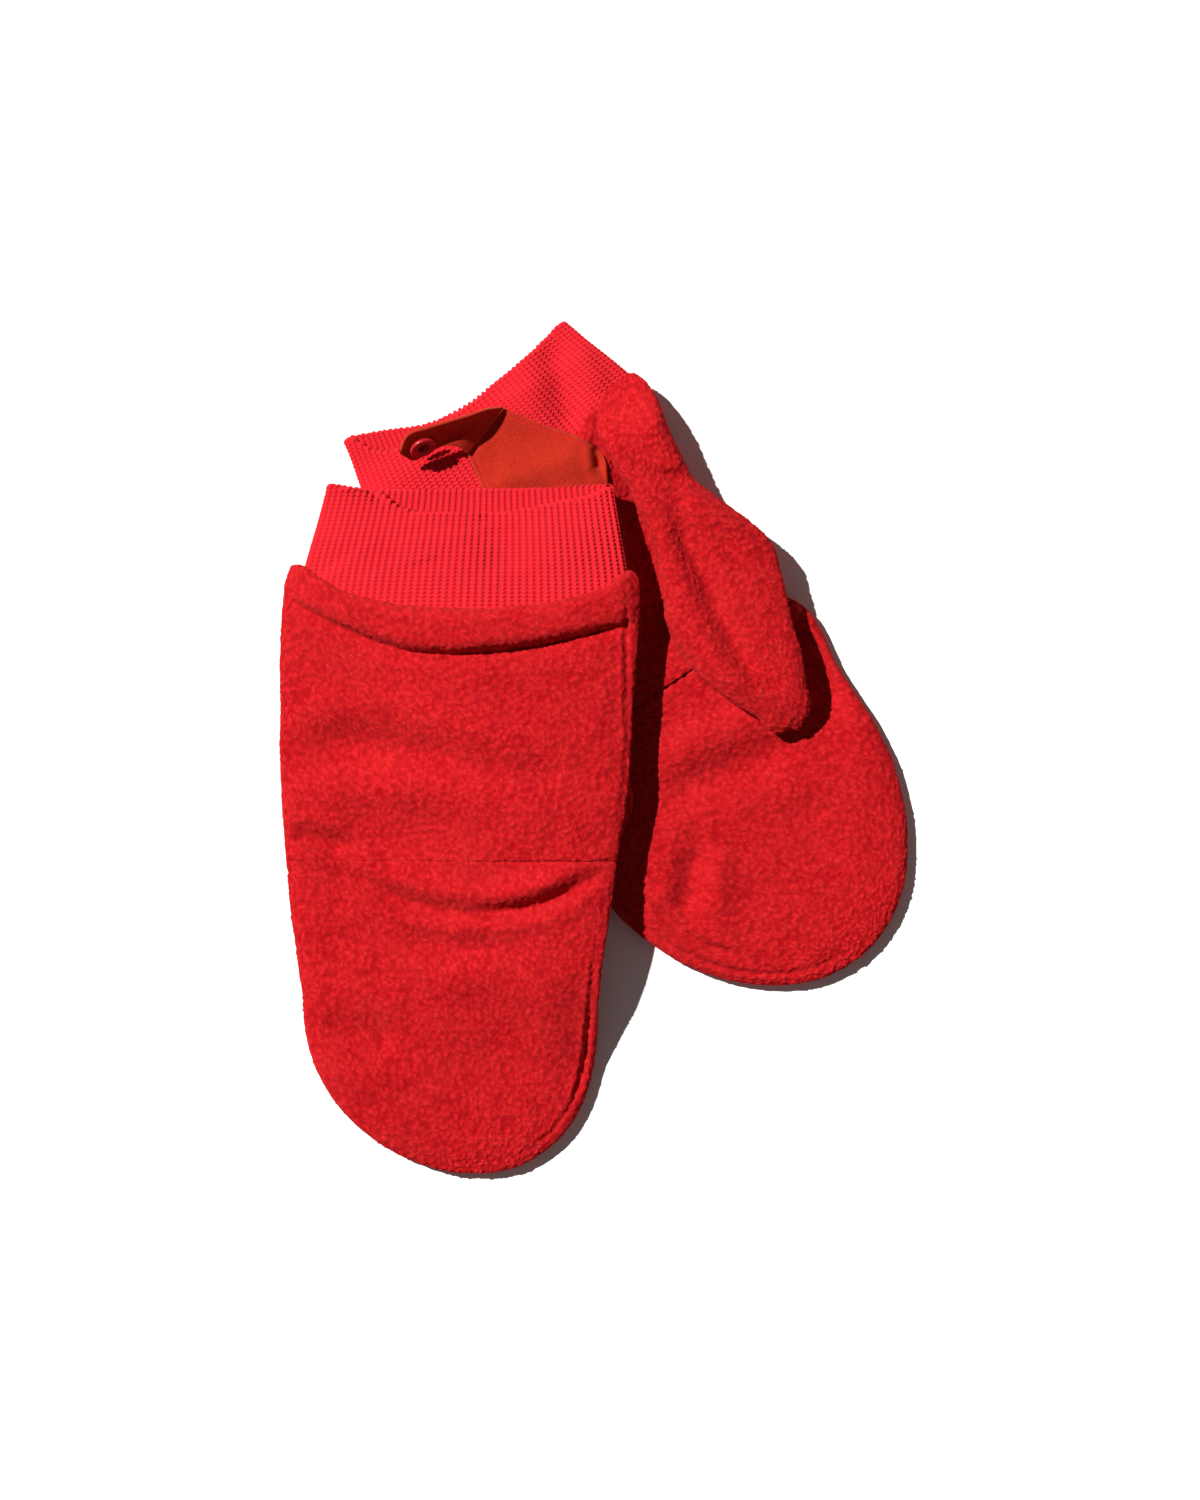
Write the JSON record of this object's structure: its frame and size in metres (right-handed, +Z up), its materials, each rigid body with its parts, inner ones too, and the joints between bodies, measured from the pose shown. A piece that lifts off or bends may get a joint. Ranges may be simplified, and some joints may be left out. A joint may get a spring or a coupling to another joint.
{
  "type": "convertible flip-top mittens",
  "caption": "Pair of fleece mittens with rib knit cuffs, flip-top finger hoods, suede palm patches and snap tabs, lying one partly on the other.",
  "frame": {"origin": "centre of the pair's footprint, on the surface it lies on", "axes": "+Y from the right mitten's fingertips toward the cuffs, +X toward the left mitten's thumb side, +Z up"},
  "size_m": [0.2316, 0.314, 0.0286],
  "materials": {
    "fleece": "pebbled napped fleece, matt",
    "rib_knit": "fine rib knit, matt",
    "suede": "suede, matt",
    "snap": "satin enamel"
  },
  "bodies": {
    "left_hand": {"left_rib_cuff": "rib_knit", "left_back_panel": "fleece", "left_palm_panel": "fleece", "left_finger_opening_hem": "fleece", "left_palm_patch": "suede"},
    "left_thumb": {"left_thumb_upper_panel": "fleece", "left_thumb_lower_panel": "fleece"},
    "left_hood": {"left_hood_back_panel": "fleece", "left_hood_palm_panel": "fleece", "left_hood_hem": "fleece"},
    "left_tab": {"left_tab": "suede", "left_snap_cap": "snap", "left_snap_socket": "snap"},
    "right_hand": {"right_rib_cuff": "rib_knit", "right_back_panel": "fleece", "right_palm_panel": "fleece", "right_finger_opening_hem": "fleece", "right_palm_patch": "suede", "right_thumb_upper_panel": "fleece", "right_thumb_lower_panel": "fleece", "right_tab": "suede", "right_snap_cap": "snap", "right_snap_stud": "snap"},
    "right_hood": {"right_hood_back_panel": "fleece", "right_hood_palm_panel": "fleece", "right_hood_hem": "fleece"}
  },
  "joints": [
    {"name": "left_hood_flip", "type": "hinge", "parent": "left_hand", "child": "left_hood", "pos_m": [0.02477, 0.02049, 0], "axis": [0.829, 0.5592, 0], "range_deg": [0, 170]},
    {"name": "left_thumb_lift", "type": "hinge", "parent": "left_hand", "child": "left_thumb", "pos_m": [0.01117, 0.1247, 0.0111], "axis": [-0.829, -0.5592, 0], "range_deg": [0, 60]},
    {"name": "left_tab_turn", "type": "hinge", "parent": "left_hand", "child": "left_tab", "pos_m": [-0.04037, 0.11527, 0.0113], "axis": [0.6616, 0.7498, 0], "range_deg": [0, 45]},
    {"name": "right_mitten_lift", "type": "slide", "parent": "left_hand", "child": "right_hand", "axis": [0, 0, 1], "range_m": [0, 0.15]},
    {"name": "right_hood_flip", "type": "hinge", "parent": "right_hand", "child": "right_hood", "pos_m": [-0.0454, -0.0416, 0.0231], "axis": [-0.9824, 0, -0.1867], "range_deg": [0, 170]}
  ]
}
